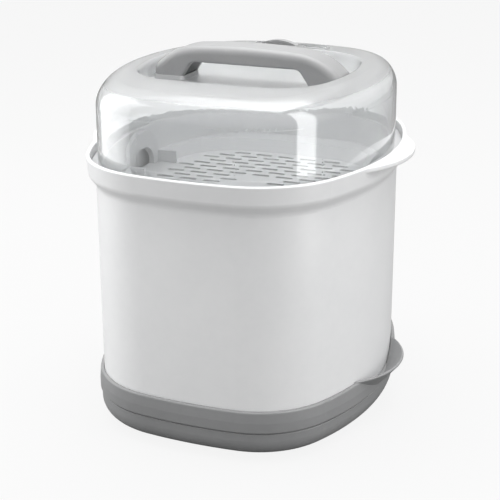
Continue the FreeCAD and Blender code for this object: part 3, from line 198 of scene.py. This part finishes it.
def clear(name, tint, rough, ior, swirl, passes, coat=0.0, frost=0.0, crown_rise=NO_RISE):
    """A clear moulding: faint flow lines, a slight tint, a satin haze on its crown and in its dish, and
    painted shade that greys the tint on its crown.

    passes is how much light goes through, and frost how rough the haze is."""
    material = bpy.data.materials.new(name)
    material.use_nodes = True
    tree = material.node_tree
    link = tree.links.new
    shader = tree.nodes["Principled BSDF"]
    grain = add(tree, "ShaderNodeGroup", node_tree=GRAIN)
    grain.inputs["Grain Scale"].default_value = 260.0
    grain.inputs["Drift Scale"].default_value = 9.0
    blend = add(tree, "ShaderNodeMix", data_type="RGBA")
    blend.inputs[6].default_value = (*tint, 1.0)
    blend.inputs[7].default_value = (*(channel * 0.985 for channel in tint), 1.0)
    link(grain.outputs["Drift"], blend.inputs[0])
    polish = ramp(tree, grain.outputs["Fleck"], 0.0, 1.0, rough, rough + 0.02)
    place = add(tree, "ShaderNodeTexCoord")
    spot = add(tree, "ShaderNodeSeparateXYZ")
    link(place.outputs["Object"], spot.inputs[0])
    crown = ramp(tree, spot.outputs["Z"], *crown_rise, smooth=True)
    across = math_node(tree, "POWER", math_node(tree, "ABSOLUTE", spot.outputs["X"], 0.0), 4.0)
    along = math_node(tree, "POWER", math_node(tree, "ABSOLUTE", spot.outputs["Y"], 0.0), 4.0)
    spread = math_node(tree, "POWER", math_node(tree, "ADD", across, along), 0.25)
    satin = math_node(tree, "MAXIMUM", crown, ramp(tree, spread, *DISH_REACH, smooth=True))
    # painted shade: the crown's tint is darkened, greying the top of the lid
    crown_shade = add(tree, "ShaderNodeMix", data_type="RGBA", blend_type="MULTIPLY")
    crown_shade.inputs[7].default_value = CROWN_SHADE_TONE
    link(crown, crown_shade.inputs[0])
    link(blend.outputs[2], crown_shade.inputs[6])
    link(crown_shade.outputs[2], shader.inputs["Base Color"])
    haze = math_node(tree, "MULTIPLY", satin, frost)
    link(math_node(tree, "ADD", polish, haze), shader.inputs["Roughness"])
    relief = add(tree, "ShaderNodeBump", Strength=swirl, Distance=0.00004)
    link(grain.outputs["Drift"], relief.inputs["Height"])
    link(relief.outputs["Normal"], shader.inputs["Normal"])
    shader.inputs["Transmission Weight"].default_value = passes
    shader.inputs["Coat Weight"].default_value = coat
    shader.inputs["Coat Roughness"].default_value = 0.12
    shader.inputs["IOR"].default_value = ior
    return material


def brushed_steel():
    """Stainless steel with fine turned lines."""
    material = bpy.data.materials.new("screw_steel")
    material.use_nodes = True
    tree = material.node_tree
    link = tree.links.new
    shader = tree.nodes["Principled BSDF"]
    place = add(tree, "ShaderNodeTexCoord")
    stretch = add(tree, "ShaderNodeMapping")
    stretch.inputs["Scale"].default_value = (1.0, 1.0, 30.0)
    link(place.outputs["Object"], stretch.inputs["Vector"])
    lines = add(tree, "ShaderNodeTexNoise", Scale=300.0, Detail=2.0)
    link(stretch.outputs["Vector"], lines.inputs["Vector"])
    tone = add(tree, "ShaderNodeMix", data_type="RGBA")
    tone.inputs[6].default_value = (0.46, 0.46, 0.47, 1.0)
    tone.inputs[7].default_value = (0.66, 0.66, 0.67, 1.0)
    link(lines.outputs["Fac"], tone.inputs[0])
    link(tone.outputs[2], shader.inputs["Base Color"])
    link(ramp(tree, lines.outputs["Fac"], 0.0, 1.0, 0.22, 0.42), shader.inputs["Roughness"])
    shader.inputs["Metallic"].default_value = 1.0
    return material


WHITE = plastic("white_case_plastic", (0.80, 0.805, 0.81), (0.84, 0.843, 0.846), (0.90, 0.90, 0.90), 0.30,
                bump=0.10, rub_and_highlight=0.5, dust=0.03)
TRAY_WHITE = plastic("white_tray_plastic", (0.66, 0.665, 0.67), (0.71, 0.712, 0.714), (0.80, 0.80, 0.80),
                     0.36, bump=0.14, rub_and_highlight=0.4)
GREY = plastic("grey_base_plastic", (0.245, 0.247, 0.25), (0.275, 0.277, 0.28), (0.40, 0.40, 0.40), 0.40,
               bump=0.22, rub_and_highlight=0.45, dust=0.04)
HANDLE_GREY = plastic("grey_handle_plastic", (0.26, 0.262, 0.265), (0.29, 0.292, 0.295), (0.42, 0.42, 0.42),
                      0.36, bump=0.20, rub_and_highlight=0.55, rub_and_highlight_width=0.0016, dust=0.03)
# the handle's underside liner: its grey is darkened well past the handle's own as painted shade under the
# handle
LINER_GREY_WITH_SHADE = plastic("liner_plastic_painted_shade", (0.06, 0.061, 0.063), (0.075, 0.076, 0.078), (0.15, 0.15, 0.15),
                     0.45, bump=0.25, rub_and_highlight=0.4)
RUBBER = plastic("foot_rubber", (0.02, 0.02, 0.021), (0.032, 0.032, 0.033), (0.07, 0.07, 0.07), 0.75,
                 grain_scale=600.0, bump=0.5, rub_and_highlight=0.6)
CLEAR = clear("clear_lid_plastic", (0.93, 0.94, 0.945), 0.0, 1.49, swirl=0.05, passes=0.93, coat=0.6,
              frost=0.5, crown_rise=CROWN_RISE)
SILICONE = clear("clear_pad_silicone", (0.90, 0.905, 0.91), 0.22, 1.41, swirl=0.3, passes=0.45)
STEEL = brushed_steel()

FINISHES = {
    "base_tray": GREY, "case_shell": WHITE, "drain_plate": TRAY_WHITE, "upper_tray": TRAY_WHITE,
    "lid_dome": CLEAR, "handle_shell": HANDLE_GREY, "handle_liner": LINER_GREY_WITH_SHADE, "handle_pad_left": SILICONE,
    "handle_pad_right": SILICONE, "handle_screws": STEEL, "vent_shutter": CLEAR, "vent_tab": HANDLE_GREY,
    "vent_retainer": TRAY_WHITE, "vent_screw": STEEL,
}
for node_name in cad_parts:
    if node_name.startswith("foot_"):
        FINISHES[node_name] = RUBBER
    if node_name.startswith("post_"):
        FINISHES[node_name] = TRAY_WHITE


def finish_frame_nodes():
    for node_name, finish in FINISHES.items():
        piece = bpy.data.objects[node_name]
        piece.data.materials.clear()
        piece.data.materials.append(finish)


# ---- studio -------------------------------------------------------------------------------------

def make_camera():
    azimuth = math.radians(22.502)
    elevation = math.radians(19.001)
    roll = math.radians(-0.211)
    distance = 0.928932
    target = Vector((0, 0, 0.1151))
    back = Vector((math.sin(azimuth) * math.cos(elevation), -math.cos(azimuth) * math.cos(elevation),
                   math.sin(elevation)))
    level = Vector((math.cos(azimuth), math.sin(azimuth), 0))
    upright = back.cross(level)
    right = math.cos(roll) * level + math.sin(roll) * upright
    up = back.cross(right)
    camera = bpy.data.objects.new("camera", bpy.data.cameras.new("camera"))
    turn = Matrix((right, up, back)).transposed().to_4x4()
    camera.matrix_world = Matrix.Translation(target + distance * back) @ turn
    camera.data.sensor_width = 36
    camera.data.lens = 91.4825
    camera.data.shift_x = -0.003721
    camera.data.shift_y = -0.017295
    bpy.context.scene.collection.objects.link(camera)
    bpy.context.scene.camera = camera


def make_panel(name, place, size, glow, aim, lights=True, shines=True):
    """A soft panel whose glow is its radiance, unseen by the camera itself.

    lights says that it lights matt surfaces, and shines that it is seen in glossy ones."""
    data = bpy.data.lights.new(name, "AREA")
    data.shape = "RECTANGLE"
    data.size, data.size_y = size
    data.energy = glow * math.pi * size[0] * size[1]
    lamp = bpy.data.objects.new(name, data)
    lamp.location = place
    lamp.rotation_euler = (Vector(aim) - Vector(place)).to_track_quat("-Z", "Y").to_euler()
    lamp.visible_camera = False
    lamp.visible_diffuse = lights
    lamp.visible_glossy = shines
    bpy.context.scene.collection.objects.link(lamp)


def make_side_panel(name, azimuth, distance, width, height, glow, **sight):
    """An upright panel that stands on the floor beside the object, turned towards it."""
    angle = math.radians(azimuth)
    place = (distance * math.sin(angle), -distance * math.cos(angle), height / 2)
    make_panel(name, place, (width, height), glow, (0, 0, height / 2), **sight)


def seen_through(tree):
    """1 for rays straight from the camera, or on through clear pieces, that met nothing matt yet."""
    path = add(tree, "ShaderNodeLightPath")
    sight = math_node(tree, "MAXIMUM", path.outputs["Is Camera Ray"], path.outputs["Is Transmission Ray"])
    first = math_node(tree, "LESS_THAN", path.outputs["Diffuse Depth"], 0.5)
    return math_node(tree, "MULTIPLY", sight, first)


def make_floor():
    """A wide pale floor, bright to look at and quiet as a source of light."""
    mesh = bpy.data.meshes.new("floor")
    mesh.from_pydata([(-6, -6, 0), (6, -6, 0), (6, 6, 0), (-6, 6, 0)], [], [(0, 1, 2, 3)])
    floor = bpy.data.objects.new("floor", mesh)
    bpy.context.scene.collection.objects.link(floor)
    paper = bpy.data.materials.new("pale_floor")
    paper.use_nodes = True
    tree = paper.node_tree
    shader = tree.nodes["Principled BSDF"]
    shader.inputs["Base Color"].default_value = (0.22, 0.22, 0.22, 1)
    shader.inputs["Roughness"].default_value = 1.0
    shader.inputs["Specular IOR Level"].default_value = 0.0
    glow = add(tree, "ShaderNodeEmission", Strength=1.10)
    both = add(tree, "ShaderNodeMixShader")
    tree.links.new(math_node(tree, "MULTIPLY", seen_through(tree), 0.8), both.inputs[0])
    tree.links.new(shader.outputs[0], both.inputs[1])
    tree.links.new(glow.outputs[0], both.inputs[2])
    tree.links.new(both.outputs[0], tree.nodes["Material Output"].inputs["Surface"])
    mesh.materials.append(paper)


def make_world():
    """White behind the object. As light it is brighter overhead than at the horizon, and its upper part
    shines a little more in the first glossy surface that it meets."""
    world = bpy.data.worlds.new("studio")
    world.use_nodes = True
    tree = world.node_tree
    soft = tree.nodes["Background"]
    soft.inputs[0].default_value = (1, 1, 1, 1)
    place = add(tree, "ShaderNodeTexCoord")
    parts = add(tree, "ShaderNodeSeparateXYZ")
    tree.links.new(place.outputs["Generated"], parts.inputs[0])
    overhead = ramp(tree, parts.outputs["Z"], 0.0, 1.0, 0.50, 1.15)
    ring = ramp(tree, parts.outputs["Z"], 0.05, 0.30, 0.0, 0.25, smooth=True)
    path = add(tree, "ShaderNodeLightPath")
    outer = math_node(tree, "LESS_THAN", path.outputs["Transmission Depth"], 0.5)
    shine = math_node(tree, "MULTIPLY", outer, path.outputs["Is Glossy Ray"])
    shine = math_node(tree, "MULTIPLY", shine, ring)
    tree.links.new(math_node(tree, "ADD", overhead, shine), soft.inputs[1])
    bright = add(tree, "ShaderNodeBackground")
    bright.inputs[0].default_value = (1, 1, 1, 1)
    bright.inputs[1].default_value = 0.95
    both = add(tree, "ShaderNodeMixShader")
    tree.links.new(seen_through(tree), both.inputs[0])
    tree.links.new(soft.outputs[0], both.inputs[1])
    tree.links.new(bright.outputs[0], both.inputs[2])
    tree.links.new(both.outputs[0], tree.nodes["World Output"].inputs["Surface"])
    bpy.context.scene.world = world


finish_frame_nodes()
make_camera()
make_floor()
make_world()
for number, width in enumerate((0.35, 0.55, 0.75)):
    make_side_panel(f"left_strip_{number}", -78, 0.65 + 0.01 * number, width, 1.0, 0.42, lights=False)
make_side_panel("left_panel", -78, 0.68, 0.8, 1.0, 2.1, shines=False)
make_side_panel("right_strip", 78, 0.65, 0.3, 1.0, 2.7, lights=False)
make_side_panel("right_panel", 78, 0.66, 0.3, 1.0, 1.9, shines=False)
make_panel("top_panel", (0.0, 0.15, 1.4), (1.3, 1.1), 4.0, (0, 0, 0.2))
bpy.context.scene.view_settings.view_transform = "Standard"
